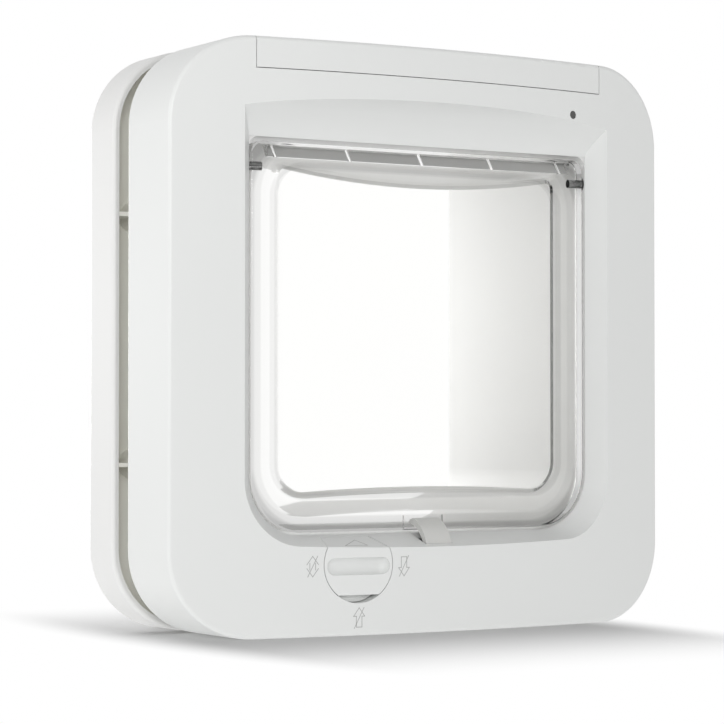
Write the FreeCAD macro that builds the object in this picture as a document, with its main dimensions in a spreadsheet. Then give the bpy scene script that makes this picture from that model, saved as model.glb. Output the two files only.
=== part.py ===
import FreeCAD, Part
import math
import os
import re
import Sketcher

# Cat flap with a microchip lock: an interior unit with a crowned face, a clear flap in a scooped recess,
# a tunnel through the door, and an exterior frame.
# Row frame: x to the right as seen from indoors, y towards the outdoors, z up, in millimetres.
# The origin is under the middle of the whole thing, on the surface that it stands on.

doc = FreeCAD.newDocument("cat_flap")
sheet = doc.addObject("Spreadsheet::Sheet", "sizes")
sheet.Label = "sizes"

# Driving dimensions: the cell's alias, its value and what it is
driving = [
    ("frame_width", 210, "both frames, side to side"),
    ("frame_height", 210, "both frames, bottom to top"),
    ("frame_corner", 30, "radius of the frames' corners"),
    ("housing_depth", 32, "interior unit from its side edge to the door"),
    ("face_crown", 11.7, "how far the middle of the face stands in front of its sides"),
    ("door_gap", 11.4, "door thickness that the two frames are set for"),
    ("outer_depth", 19.2, "exterior frame from the door to its back"),
    ("tunnel_proud", 33.2, "tunnel beyond the exterior frame"),
    ("shell_wall", 2.5, "wall of the housing and the exterior frame"),
    ("edge_round", 1.5, "rounding of the outer edges"),
    ("flap_side", 33.4, "frames' side to the flap's side edge"),
    ("flap_bottom", 36.2, "height of the flap's lower edge"),
    ("flap_drop", 35.7, "frames' top down to the flap's top edge"),
    ("flap_top_corner", 4.8, "radius of the flap's upper corners"),
    ("flap_corner", 20.2, "radius of the flap's lower corners"),
    ("flap_thick", 6.6, "thickness of the flap's rim"),
    ("flap_setback", 1.7, "flap's front behind the side edge of the face"),
    ("flap_gap", 1.0, "gap beside and below the flap"),
    ("flap_gap_above", 1.5, "gap above the flap"),
    ("hinge_drop", 44.5, "frames' top down to the hinge axis"),
    ("pane_side", 12.3, "flap's side edge to the clear window"),
    ("pane_bottom", 50.4, "height of the window's lower edge at its sides"),
    ("pane_drop", 44.8, "frames' top down to the window's top edge at its sides"),
    ("pane_bow_low", 1.5, "rise of the lower edge in the middle"),
    ("pane_bow_high", 4.6, "fall of the top edge in the middle"),
    ("pane_corner", 10, "radius of the window's lower corners"),
    ("pane_thick", 2.6, "thickness of the window"),
    ("pane_step", 2.2, "width of the bevelled step round the window"),
    ("beam_slot_height", 4.1, "height of the groove in the flap's top beam"),
    ("beam_lip", 1.4, "lip above that groove"),
    ("beam_slot_deep", 4.6, "depth of the groove at its top"),
    ("beam_slot_shallow", 1.6, "depth of the groove at its bottom"),
    ("rib_thick", 1.1, "ribs across the groove"),
    ("rib_share", 0.2144, "spacing of those ribs, as a share of the flap's width"),
    ("notch_width", 16.8, "notch in the flap's lower edge for the latch"),
    ("notch_height", 5.4, "height of that notch"),
    ("notch_deep", 1.3, "depth of that notch"),
    ("ear_radius", 3.2, "round ears of the flap at the hinge"),
    ("pin_radius", 1.6, "hinge pins"),
    ("pin_fit", 0.06, "running clearance of pins and shafts"),
    ("pin_depth", 5, "length of a pin inside its ear"),
    ("bush_radius", 2.9, "hinge bushes"),
    ("bush_length", 4.2, "length of a hinge bush"),
    ("recess_side_slope", 0.78, "recess's sides, outwards per millimetre forwards"),
    ("recess_sill_slope", 0.336, "recess's sill, down per millimetre forwards"),
    ("recess_corner_grow", 3, "growth of the recess's corner radius towards the face"),
    ("recess_drop", 24, "frames' top down to the recess's top edge at its corners"),
    ("recess_drop_middle", 19.6, "frames' top down to the recess's top edge in the middle"),
    ("recess_corner_setback", 5.6, "depth of the face at those corners in front of the side edge"),
    ("tunnel_wall", 2.2, "wall of the tunnel"),
    ("tunnel_top_corner", 4, "radius of the tunnel's upper corners"),
    ("tunnel_start", 0.3, "gap between the recess's rim and the tunnel"),
    ("flange_width", 7, "tunnel flange, beyond the tunnel's wall"),
    ("flange_thick", 2.2, "thickness of that flange"),
    ("plate_thick", 2.5, "back plate of the interior unit"),
    ("fit_gap", 0.3, "gap between fixed mouldings"),
    ("cover_side", 31, "frames' side to the battery cover's side"),
    ("cover_drop", 11.3, "frames' top down to the battery cover's lower edge on the face"),
    ("cover_back", 24, "rear edge of the battery cover, behind the face's side edge"),
    ("cover_thick", 2.2, "thickness of the battery cover"),
    ("foot_depth", 9, "feet of the battery cover, front to back"),
    ("seam", 0.3, "gap round the battery cover and the lock"),
    ("cell_radius", 7.25, "battery cell"),
    ("cell_length", 50.5, "battery cell with its cap"),
    ("cell_space", 0.4, "play round a cell"),
    ("tray_wall", 1.2, "wall of the battery tray"),
    ("tray_drop", 22.3, "frames' top down to the tray's underside"),
    ("tray_length", 113, "outer length of the battery tray"),
    ("flange_drop", 7, "frames' top down to the underside of the tray's rim"),
    ("rim_thick", 1.5, "thickness of the tray's rim"),
    ("button_radius", 2.5, "memory button"),
    ("button_side", 8, "battery cover's side to the memory button"),
    ("button_travel", 0.6, "travel of the memory button"),
    ("board_thick", 1.6, "circuit board"),
    ("board_depth", 14, "board's front behind the face's side edge"),
    ("lamp_side", 44.6, "frames' side to the indicator light"),
    ("lamp_drop", 19.9, "frames' top down to the indicator light"),
    ("lamp_radius", 1.4, "light pipe"),
    ("knob_x", -34.9, "place of the four-way lock"),
    ("knob_height", 25.2, "height of the four-way lock's axis"),
    ("knob_radius", 13.4, "four-way lock"),
    ("knob_chord", 10.8, "flat on the lock's edge, from its axis"),
    ("ledge_depth", 3.6, "depth of that flat behind the face"),
    ("knob_back", -0.4, "back of the lock behind the face's side edge"),
    ("groove_length", 25, "finger groove of the lock"),
    ("groove_radius", 3.1, "half the groove's width"),
    ("groove_rise", 0.7, "groove's place below the lock's axis"),
    ("cup_wall", 1.8, "wall of the cup that holds the lock"),
    ("shaft_radius", 3, "shaft behind the lock"),
    ("cam_radius", 6.8, "largest radius of the cam on that shaft"),
    ("cam_width", 3, "width of the cam"),
    ("latch_width", 10.8, "width of the latch"),
    ("latch_thick", 2.2, "thickness of the latch"),
    ("latch_tip", 40.6, "height of the latch's tip"),
    ("latch_reach", 8.6, "front of the latch before the face's side edge"),
    ("latch_foot", 12.6, "height of the latch's lower end"),
    ("latch_travel", 7.6, "travel of the latch"),
    ("outer_latch_travel", 8.4, "travel of the outer latch"),
    ("gear_module", 0.8, "tooth size of pinion and rack"),
    ("pinion_teeth", 12, "teeth of the pinion"),
    ("pinion_height", 17, "height of the pinion's axis"),
    ("pinion_width", 2, "width of the pinion"),
    ("gear_backlash", 0.24, "play between the teeth"),
    ("motor_radius", 5, "half the width of the latch motor"),
    ("motor_length", 20, "latch motor with its gearbox"),
    ("gearbox_length", 9, "gearbox of the latch motor"),
    ("spring_radius", 1.4, "latch spring, over its wire"),
    ("spring_wire", 0.5, "wire of the latch spring"),
    ("spring_turns", 6, "turns of the latch spring"),
    ("screw_side", 16, "frames' side to the frame screws"),
    ("screw_low", 60, "lower frame screws above the base, and upper ones below the top"),
    ("screw_radius", 2, "frame screws"),
    ("screw_head", 3.9, "radius of a frame screw's head"),
    ("boss_radius", 5.6, "bosses round the frame screws"),
    ("boss_reach", 12.5, "bosses of the interior unit, forwards of its plate"),
    ("cap_radius", 4.6, "screw caps"),
    ("cap_thick", 1.4, "thickness of a screw cap"),
    ("small_screw_side", 15, "frames' side to the housing screws"),
    ("small_screw_low", 18, "lower housing screws above the base, and upper ones below the top"),
    ("small_screw_radius", 1.5, "housing screws"),
    ("small_screw_length", 12, "length of a housing screw"),
    ("frame_rib", 1.5, "ribs inside the exterior frame"),
    ("collar_gap", 0.4, "gap between the exterior frame and the tunnel"),
    ("coil_width", 9, "antenna coil along the tunnel"),
    ("coil_thick", 2.4, "build-up of the antenna coil"),
]
for row, (alias, value, note) in enumerate(driving, start=1):
    sheet.set("A%d" % row, alias)
    sheet.set("B%d" % row, str(value))
    sheet.set("C%d" % row, note)
    sheet.setAlias("B%d" % row, alias)
doc.recompute()
aliases = {alias for alias, value, note in driving}

# Places worked out from the driving dimensions
places = doc.addObject("App::FeaturePython", "places")
places.Label = "places"
derived = []


def formula(text):
    """Turn each size or place named in the text into a reference to it."""
    def reference(found):
        word = found.group(0)
        if word in aliases:
            return "sizes." + word
        if word in derived:
            return "places." + word
        return word
    return re.sub(r"[A-Za-z_]+[A-Za-z_0-9]*", reference, text)


scratch = doc.addObject("App::FeaturePython", "scratch")
scratch.addProperty("App::PropertyFloat", "result")


def amount(text):
    """The value of a formula."""
    scratch.setExpression("result", formula(text))
    scratch.recompute()
    return scratch.result


def place(name, text):
    """Add a worked-out place, and return its value."""
    places.addProperty("App::PropertyFloat", name)
    places.setExpression(name, formula(text))
    places.recompute()
    derived.append(name)
    return getattr(places, name)


def size(name):
    """The value of a cell or of a worked-out place."""
    return amount(name)


half_width = place("half_width", "frame_width / 2")
place("flap_width", "frame_width - 2 * flap_side")
place("flap_top", "frame_height - flap_drop")
place("hinge_height", "frame_height - hinge_drop")
place("pane_half_width", "flap_width / 2 - pane_side")
place("pane_top", "frame_height - pane_drop")
place("rib_pitch", "flap_width * rib_share")
place("recess_top_edge", "frame_height - recess_drop")
place("recess_top_middle", "frame_height - recess_drop_middle")
place("cover_half_width", "half_width - cover_side")
place("cover_edge", "frame_height - cover_drop")
place("tray_floor", "frame_height - tray_drop")
place("flange_height", "frame_height - flange_drop")
place("button_x", "cover_half_width - button_side")
place("lamp_x", "half_width - lamp_side")
place("lamp_height", "frame_height - lamp_drop")
place("screw_x", "half_width - screw_side")
place("screw_high", "frame_height - screw_low")
place("small_screw_x", "half_width - small_screw_side")
total_depth = place("total_depth", "face_crown + housing_depth + door_gap + outer_depth + tunnel_proud")
face_edge = place("face_edge", "face_crown - total_depth / 2")
crown_radius = place("crown_radius", "(half_width * half_width + face_crown * face_crown) / (2 * face_crown)")
crown_axis = place("crown_axis", "face_edge - face_crown + crown_radius")
front_most = place("front_most", "face_edge - face_crown")
door_face = place("door_face", "face_edge + housing_depth")
plate_front = place("plate_front", "door_face - plate_thick")
outer_face = place("outer_face", "door_face + door_gap")
outer_back = place("outer_back", "outer_face + outer_depth")
tunnel_end = place("tunnel_end", "outer_back + tunnel_proud")
flap_front = place("flap_front", "face_edge + flap_setback")
flap_back = place("flap_back", "flap_front + flap_thick")
hinge_y = place("hinge_y", "flap_front + flap_thick / 2")
opening_half = place("opening_half", "flap_width / 2 + flap_gap")
opening_bottom = place("opening_bottom", "flap_bottom - flap_gap")
opening_top = place("opening_top", "flap_top + flap_gap_above")
opening_corner = place("opening_corner", "flap_corner + flap_gap")
tunnel_front = place("tunnel_front", "flap_front + tunnel_start")
stem_front = place("stem_front", "face_edge - latch_reach")
stem_back = place("stem_back", "stem_front + latch_thick")
pinion_pitch = place("pinion_pitch", "gear_module * pinion_teeth / 2")
pinion_x = place("pinion_x", "latch_width / 2 + gear_module * 1.25 + pinion_pitch")
tray_back = place("tray_back", "plate_front")
tray_inner_back = place("tray_inner_back", "tray_back - tray_wall")
tray_depth = place("tray_depth", "4 * cell_radius + 3 * cell_space + 2 * tray_wall")
tray_front = place("tray_front", "tray_back - tray_depth")
cell_height = place("cell_height", "tray_floor + rim_thick + cell_radius + 0.1")
board_front = place("board_front", "face_edge + board_depth")
board_back = place("board_back", "board_front + board_thick")
finished = []


def bind(thing, **formulas):
    """Tie properties to the sheet. X, Y and Z are the place of the object."""
    for key, text in formulas.items():
        if key in ("x", "y", "z"):
            key = "Placement.Base." + key
        thing.setExpression(key, formula(text))
    return thing


def named(thing, label):
    """Mark an object as a finished piece, which is written under its label."""
    thing.Label = label
    finished.append(thing)
    return thing


turn_to_y = FreeCAD.Rotation(FreeCAD.Vector(1, 0, 0), -90)
turn_to_x = FreeCAD.Rotation(FreeCAD.Vector(0, 1, 0), 90)
upright = FreeCAD.Rotation(FreeCAD.Vector(1, 0, 0), 90)


def block(label, low, lengths):
    """A box from its low corner, given as three formulas, and three lengths."""
    thing = doc.addObject("Part::Box", label)
    return bind(thing, x=low[0], y=low[1], z=low[2], Length=lengths[0], Width=lengths[1], Height=lengths[2])


def rod(label, radius, length, base, along="y"):
    """A cylinder from the middle of its first end."""
    thing = doc.addObject("Part::Cylinder", label)
    if along == "y":
        thing.Placement.Rotation = turn_to_y
    if along == "x":
        thing.Placement.Rotation = turn_to_x
    return bind(thing, x=base[0], y=base[1], z=base[2], Radius=radius, Height=length)


def join(label, *things):
    """The union of several objects."""
    thing = doc.addObject("Part::MultiFuse", label)
    thing.Shapes = list(things)
    return thing


def carve(label, base, *tools):
    """The base less the tools."""
    tool = tools[0]
    if len(tools) > 1:
        tool = join(label + "_tools", *tools)
    thing = doc.addObject("Part::Cut", label)
    thing.Base = base
    thing.Tool = tool
    return thing


def meet(label, *things):
    """What several objects share."""
    thing = doc.addObject("Part::MultiCommon", label)
    thing.Shapes = list(things)
    return thing


def outline(label, half, low, high, low_corner, high_corner, y):
    """A sketch in a plane across y: a rectangle with rounded corners, even about the middle."""
    sketch = doc.addObject("Sketcher::SketchObject", label)
    sketch.Placement.Rotation = upright
    a, b, c, r, q = [amount(text) for text in (half, low, high, low_corner, high_corner)]
    v = FreeCAD.Vector
    z = v(0, 0, 1)
    pi = math.pi
    sketch.addGeometry([
        Part.LineSegment(v(r - a, b, 0), v(a - r, b, 0)),
        Part.ArcOfCircle(Part.Circle(v(a - r, b + r, 0), z, r), 1.5 * pi, 2 * pi),
        Part.LineSegment(v(a, b + r, 0), v(a, c - q, 0)),
        Part.ArcOfCircle(Part.Circle(v(a - q, c - q, 0), z, q), 0, 0.5 * pi),
        Part.LineSegment(v(a - q, c, 0), v(q - a, c, 0)),
        Part.ArcOfCircle(Part.Circle(v(q - a, c - q, 0), z, q), 0.5 * pi, pi),
        Part.LineSegment(v(-a, c - q, 0), v(-a, b + r, 0)),
        Part.ArcOfCircle(Part.Circle(v(r - a, b + r, 0), z, r), pi, 1.5 * pi),
    ], False)
    for number in range(8):
        sketch.addConstraint(Sketcher.Constraint("Tangent", number, 2, (number + 1) % 8, 1))
    sketch.addConstraint([
        Sketcher.Constraint("Horizontal", 0),
        Sketcher.Constraint("Vertical", 2),
        Sketcher.Constraint("Symmetric", 2, 1, 6, 2, -2),
        Sketcher.Constraint("Equal", 1, 7),
        Sketcher.Constraint("Equal", 3, 5),
        Sketcher.Constraint("DistanceX", -1, 1, 2, 1, a),
        Sketcher.Constraint("DistanceY", -1, 1, 0, 1, b),
        Sketcher.Constraint("DistanceY", -1, 1, 4, 1, c),
        Sketcher.Constraint("Radius", 1, r),
        Sketcher.Constraint("Radius", 3, q),
    ])
    first = sketch.ConstraintCount - 5
    for offset, (name, text) in enumerate((("half", half), ("low", low), ("high", high),
                                           ("low_corner", low_corner), ("high_corner", high_corner))):
        sketch.renameConstraint(first + offset, name)
        sketch.setExpression("Constraints." + name, formula(text))
    return bind(sketch, y=y)


def slab(label, sketch, length):
    """A sketch drawn out towards +y."""
    thing = doc.addObject("Part::Extrusion", label)
    thing.Base = sketch
    thing.DirMode = "Custom"
    thing.Dir = FreeCAD.Vector(0, 1, 0)
    thing.Solid = True
    return bind(thing, LengthFwd=length)


def profile(label, edges, length, x):
    """A side view in the y and z plane, given as its edges, drawn out towards +x."""
    face = Part.Face(Part.Wire(edges))
    thing = doc.addObject("Part::Feature", label)
    thing.Shape = face.extrude(FreeCAD.Vector(length, 0, 0))
    thing.Placement.Base.x = x
    return thing


def vec(x, y, z):
    return FreeCAD.Vector(x, y, z)


def edges_where(shape, test):
    """Numbers of the edges whose middle passes the test."""
    found = []
    for index, edge in enumerate(shape.Edges, start=1):
        middle = edge.valueAt((edge.FirstParameter + edge.LastParameter) / 2)
        if test(edge, middle):
            found.append(index)
    return found


def rounded(label, base, radius, test):
    """Fillet the edges that pass the test."""
    base.Document.recompute()
    thing = doc.addObject("Part::Fillet", label)
    thing.Base = base
    thing.Edges = [(index, radius, radius) for index in edges_where(base.Shape, test)]
    return thing


# Outer form of the interior unit: a block with rounded corners whose front is part of a wide cylinder
shell_plan = outline("shell_plan", "half_width", "0", "frame_height", "frame_corner", "frame_corner", "front_most")
shell_block = slab("shell_block", shell_plan, "face_crown + housing_depth")


def crown(label, inset):
    """The cylinder whose surface is the crowned face, or a surface inset from it."""
    thing = doc.addObject("Part::Cylinder", label)
    return bind(thing, x="0", y="crown_axis", z="-frame_corner", Radius="crown_radius - " + inset,
                Height="frame_height + 2 * frame_corner")


shell_sharp = meet("shell_sharp", shell_block, crown("face_cylinder", "0"))
doc.recompute()


def on_outer_rim(edge, middle):
    """Edges round the face and round the rear, but not the lines along the corners."""
    at_rear = abs(middle.y - door_face) < 0.01
    along = edge.valueAt(edge.LastParameter) - edge.valueAt(edge.FirstParameter)
    return at_rear or abs(along.y) < 0.9 * along.Length


shell_outer = rounded("shell_outer", shell_sharp, size("edge_round"), on_outer_rim)


def inside_shell(label, wall, y, length):
    """A block with the frames' outline, smaller all round by wall."""
    corner = "frame_corner - (%s)" % wall
    plan = outline(label + "_plan", "half_width - (%s)" % wall, wall, "frame_height - (%s)" % wall, corner, corner, y)
    return slab(label, plan, length)


def cavity(label, wall, length):
    """The hollow behind the face, at the given wall."""
    return meet(label, inside_shell(label + "_block", wall, "front_most", length), crown(label + "_front", wall))


shell_cavity = cavity("shell_cavity", "shell_wall", "face_crown + housing_depth + shell_wall")

# The scoop in front of the flap: its sides and sill slope, and its top is part of a cylinder
scoop_front = place("scoop_front", "front_most - shell_wall")
scoop_depth = place("scoop_depth", "flap_front - scoop_front")


def scoop(label, grow):
    """The recess's hollow, or with grow the outside of its walls."""
    wall = " + " + grow
    inner = outline(label + "_inner", "opening_half" + wall, "opening_bottom - " + grow,
                    "frame_height + frame_corner", "opening_corner" + wall, "shell_wall", "flap_front")
    outer = outline(label + "_mouth", "opening_half + recess_side_slope * scoop_depth" + wall,
                    "opening_bottom - recess_sill_slope * scoop_depth - " + grow, "frame_height + frame_corner",
                    "opening_corner + recess_corner_grow" + wall, "shell_wall", "scoop_front")
    sides = doc.addObject("Part::Loft", label + "_sides")
    sides.Sections = [outer, inner]
    sides.Solid = True
    sides.Ruled = True
    return meet(label, sides, scoop_side(label + "_top", amount(grow)))


def scoop_side(label, grow):
    """Side view of the recess: its top is an arc through the flap's top and the edges on the face."""
    low = vec(0, flap_front, opening_top)
    corner = vec(0, face_edge - size("recess_corner_setback"), size("recess_top_edge"))
    middle = vec(0, front_most, size("recess_top_middle"))
    circle = Part.Arc(low, corner, middle).toShape().Curve
    centre, radius = circle.Center, circle.Radius + grow

    def on_arc(y):
        return vec(0, y, centre.z + math.sqrt(radius ** 2 - (y - centre.y) ** 2))

    floor = -size("frame_corner")
    top = Part.Arc(on_arc(flap_front), on_arc(corner.y), on_arc(scoop_front)).toShape()
    back_low, front_low = vec(0, flap_front, floor), vec(0, scoop_front, floor)
    lines = [top, Part.makeLine(on_arc(scoop_front), front_low), Part.makeLine(front_low, back_low),
             Part.makeLine(back_low, on_arc(flap_front))]
    return profile(label, lines, 2 * half_width, -half_width)


scoop_hollow = scoop("scoop_hollow", "0")
scoop_walls = meet("scoop_walls", scoop("scoop_outside", "shell_wall"), shell_outer)

# The cup for the four-way lock, the bosses for the back plate and the openings in the shell
knob_gap_radius = place("knob_gap_radius", "knob_radius + seam")
knob_rear = place("knob_rear", "face_edge + knob_back")
cup = rod("cup", "knob_gap_radius + cup_wall", "knob_rear + 2 * seam + 1 - front_most",
          ("knob_x", "front_most", "knob_height"))
cup_in_shell = meet("cup_in_shell", cup, crown("cup_front", "0"))
knob_bore = rod("knob_bore", "knob_gap_radius", "knob_rear + seam - scoop_front",
                ("knob_x", "scoop_front", "knob_height"))
shaft_hole = rod("shaft_hole", "shaft_radius + pin_fit", "total_depth / 4",
                 ("knob_x", "front_most", "knob_height"))
small_screw_high = place("small_screw_high", "frame_height - small_screw_low")
corners = [("left_low", "-small_screw_x", "small_screw_low"), ("right_low", "small_screw_x", "small_screw_low"),
           ("left_high", "-small_screw_x", "small_screw_high"), ("right_high", "small_screw_x", "small_screw_high")]
posts = [rod("post_" + name, "2 * small_screw_radius", "plate_front - front_most", (x, "front_most", z))
         for name, x, z in corners]
post_holes = [rod("post_hole_" + name, "small_screw_radius", "small_screw_length",
                  (x, "door_face - small_screw_length", z)) for name, x, z in corners]
posts_in_shell = meet("posts_in_shell", join("posts", *posts), shell_outer)
cover_space = block("cover_space", ("-cover_half_width", "scoop_front", "cover_edge"),
                    ("2 * cover_half_width", "face_edge + cover_back - scoop_front", "frame_corner"))
lamp_hole = rod("lamp_hole", "lamp_radius + seam / 2", "face_crown + 6", ("lamp_x", "scoop_front", "lamp_height"))
latch_slot = block("latch_slot", ("-latch_width / 2 - fit_gap - 0.2", "stem_front - fit_gap", "pinion_height"),
                   ("latch_width + 2 * fit_gap + 0.4", "flap_front - stem_front + 1", "opening_bottom"))
shell_body = carve("shell_body", shell_outer, shell_cavity)
shell_full = join("shell_full", shell_body, scoop_walls, cup_in_shell, posts_in_shell)
named(carve("front_housing_body", shell_full, scoop_hollow, knob_bore, shaft_hole, cover_space, lamp_hole,
            latch_slot, *post_holes), "front_housing")
doc.recompute()

# Back plate of the interior unit, with the bosses that take the frame screws and the posts of the board
tunnel_outer_half = place("tunnel_outer_half", "opening_half + tunnel_wall")
tunnel_outer_low = place("tunnel_outer_low", "opening_bottom - tunnel_wall")
tunnel_outer_high = place("tunnel_outer_high", "opening_top + tunnel_wall")


def around_tunnel(label, grow, y, length):
    """A block with the tunnel's outline, larger all round by grow."""
    plan = outline(label + "_plan", "tunnel_outer_half + " + grow, "tunnel_outer_low - (%s)" % grow,
                   "tunnel_outer_high + " + grow, "opening_corner + tunnel_wall + " + grow,
                   "tunnel_top_corner + tunnel_wall + " + grow, y)
    return slab(label, plan, length)


frame_screws_at = [("left_low", "-screw_x", "screw_low"), ("right_low", "screw_x", "screw_low"),
                   ("left_high", "-screw_x", "screw_high"), ("right_high", "screw_x", "screw_high")]
board_bottom = place("board_bottom", "frame_height / 2 - 9")
board_top = place("board_top", "lamp_height - 4")
board_tall = place("board_tall", "board_top - board_bottom")
board_posts_at = [("low", "screw_x", "board_bottom + board_tall * 0.09"),
                  ("high", "screw_x", "board_top - board_tall * 0.09")]
plate_bosses = [rod("plate_boss_" + name, "boss_radius", "boss_reach", (x, "plate_front - boss_reach", z))
                for name, x, z in frame_screws_at]
board_posts = [rod("board_post_" + name, "small_screw_radius + 1", "plate_front - board_back",
                   (x, "board_back", z)) for name, x, z in board_posts_at]
screw_gap_radius = place("screw_gap_radius", "screw_radius + pin_fit")
plate_holes = [rod("plate_hole_" + name, "screw_gap_radius", "boss_reach + plate_thick",
                   (x, "plate_front - boss_reach", z)) for name, x, z in frame_screws_at]
plate_small_holes = [rod("plate_small_hole_" + name, "small_screw_radius + pin_fit", "plate_thick",
                         (x, "plate_front", z)) for name, x, z in corners]
plate_block = inside_shell("plate_block", "shell_wall + fit_gap", "plate_front", "plate_thick")
plate_solid = join("plate_solid", plate_block, *plate_bosses, *board_posts)
plate_window = around_tunnel("plate_window", "fit_gap", "plate_front - fit_gap", "plate_thick + 2 * fit_gap")
named(carve("rear_housing_body", plate_solid, plate_window, *plate_holes, *plate_small_holes), "rear_housing")

# Tunnel through the door, with bosses for the hinge bushes, a slot for the outer latch and a flange
tunnel_block = around_tunnel("tunnel_block", "0", "tunnel_front", "tunnel_end - tunnel_front")
tunnel_flange = around_tunnel("tunnel_flange", "flange_width", "plate_front - flange_thick", "flange_thick")
hinge_bosses = [rod("hinge_boss_" + side, "bush_radius + 2", "bush_length", (x, "hinge_y", "hinge_height"), "x")
                for side, x in (("left", "-opening_half - bush_length"), ("right", "opening_half"))]
boss_trim = block("boss_trim", ("-half_width", "front_most", "hinge_height - frame_corner"),
                  ("frame_width", "tunnel_front - front_most", "2 * frame_corner"))
bore_plan = outline("bore_plan", "opening_half", "opening_bottom", "opening_top", "opening_corner",
                    "tunnel_top_corner", "tunnel_front - 1")
tunnel_bore = slab("tunnel_bore", bore_plan, "tunnel_end - tunnel_front + 2")
bush_bores = [rod("bush_bore_" + side, "bush_radius", "bush_length + 2", (x, "hinge_y", "hinge_height"), "x")
              for side, x in (("left", "-opening_half - bush_length - 1"), ("right", "opening_half - 1"))]
outer_latch_front = place("outer_latch_front", "flap_back + 0.9")
outer_slot = block("outer_slot",
                   ("-latch_width / 2 - fit_gap", "outer_latch_front - fit_gap", "tunnel_outer_low - 1"),
                   ("latch_width + 2 * fit_gap", "latch_thick + 2 * fit_gap", "tunnel_wall + 2"))
latch_way = block("latch_way", ("-latch_width / 2 - 2 * fit_gap", "tunnel_front - 1", "tunnel_outer_low - 1"),
                  ("latch_width + 4 * fit_gap", "flap_front + notch_deep + fit_gap - tunnel_front + 1",
                   "tunnel_wall + 2"))
tunnel_solid = join("tunnel_solid", tunnel_block, tunnel_flange, *hinge_bosses)
named(carve("tunnel_body", tunnel_solid, tunnel_bore, outer_slot, latch_way, boss_trim, *bush_bores), "tunnel")

# Exterior frame: an open-backed moulding with a collar round the tunnel, ribs and four screw bosses
outer_plan = outline("outer_plan", "half_width", "0", "frame_height", "frame_corner", "frame_corner", "outer_face")
outer_sharp = slab("outer_sharp", outer_plan, "outer_depth")
doc.recompute()
outer_block = rounded("outer_block", outer_sharp, size("edge_round"), lambda edge, middle:
                      abs(middle.y - outer_face) < 0.01 or abs(middle.y - outer_back) < 0.01)
outer_cavity = inside_shell("outer_cavity", "shell_wall", "outer_face - 1", "outer_depth - shell_wall + 1")
collar = around_tunnel("collar", "collar_gap + cup_wall", "outer_face", "outer_depth")
passage = around_tunnel("passage", "collar_gap", "outer_face - 1", "outer_depth + 2")
rib_front = place("rib_front", "outer_face + 1")
rib_depth = place("rib_depth", "outer_depth - 1")
rib_column = place("rib_column", "screw_high - frame_height / 2")
frame_ribs = [block("frame_rib_" + name, ("-half_width", "rib_front", height + " - frame_rib / 2"),
                    ("frame_width", "rib_depth", "frame_rib"))
              for name, height in (("low", "screw_low"), ("high", "screw_high"))]
frame_ribs += [block("frame_rib_" + name, (x + " - frame_rib / 2", "rib_front", "0"),
                     ("frame_rib", "rib_depth", "frame_height"))
               for name, x in (("left", "-rib_column"), ("right", "rib_column"))]
ribs_inside = meet("ribs_inside", join("frame_ribs", *frame_ribs), outer_block)
outer_bosses = [rod("outer_boss_" + name, "boss_radius", "outer_depth", (x, "outer_face", z))
                for name, x, z in frame_screws_at]
outer_shell = carve("outer_shell", outer_block, outer_cavity)
outer_solid = join("outer_solid", outer_shell, collar, ribs_inside, *outer_bosses)
screw_head_depth = place("screw_head_depth", "screw_radius * 1.1")
head_seat = place("head_seat", "outer_back - cap_thick - screw_head_depth - 0.2")
outer_holes = [rod("outer_hole_" + name, "screw_radius + fit_gap", "outer_depth + 2", (x, "outer_face - 1", z))
               for name, x, z in frame_screws_at]
head_pockets = [rod("head_pocket_" + name, "cap_radius + 0.02", "outer_back - head_seat + 1", (x, "head_seat", z))
                for name, x, z in frame_screws_at]
named(carve("exterior_frame_body", outer_solid, passage, *outer_holes, *head_pockets), "exterior_frame")

# Flap: one clear moulding with a thick rim, a thin window and a grooved beam along its top
flap_plan = outline("flap_plan", "flap_width / 2", "flap_bottom", "flap_top", "flap_corner", "flap_top_corner",
                    "flap_front")
flap_sharp = slab("flap_sharp", flap_plan, "flap_thick")
doc.recompute()
flap_block = rounded("flap_block", flap_sharp, size("edge_round") / 2, lambda edge, middle:
                     abs(middle.y - flap_front) < 0.01 or abs(middle.y - flap_back) < 0.01)


def window_wire(grow, y):
    """Outline of the window, grown all round: its lower and top edges bow towards its middle."""
    half = size("pane_half_width") + grow
    low, high = size("pane_bottom") - grow, size("pane_top") + grow
    bow_low, bow_high = size("pane_bow_low"), size("pane_bow_high")
    corner, small = size("pane_corner") + grow, size("pane_step") + grow
    turn = 1 - math.sqrt(0.5)

    def arc(start, middle, end):
        return Part.Arc(vec(start[0], y, start[1]), vec(middle[0], y, middle[1]), vec(end[0], y, end[1])).toShape()

    def line(start, end):
        return Part.makeLine(vec(start[0], y, start[1]), vec(end[0], y, end[1]))

    right_low, right_high = (half, low + corner), (half, high - small)
    left_low, left_high = (-half, low + corner), (-half, high - small)
    inner, upper = half - corner, half - small
    return Part.Wire([
        arc((-inner, low), (0, low + bow_low), (inner, low)),
        arc((inner, low), (half - turn * corner, low + turn * corner), right_low),
        line(right_low, right_high),
        arc(right_high, (half - turn * small, high - turn * small), (upper, high)),
        arc((upper, high), (0, high - bow_high), (-upper, high)),
        arc((-upper, high), (-half + turn * small, high - turn * small), left_high),
        line(left_high, left_low),
        arc(left_low, (-half + turn * corner, low + turn * corner), (-inner, low)),
    ])


def window_pocket(label, steps):
    """A pocket with sloping sides, from pairs of growth and depth."""
    thing = doc.addObject("Part::Feature", label)
    lofts = [Part.makeLoft([window_wire(*first), window_wire(*second)], True, True)
             for first, second in zip(steps, steps[1:])]
    shape = lofts[0]
    for loft in lofts[1:]:
        shape = shape.fuse(loft)
    thing.Shape = shape
    return thing


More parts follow.
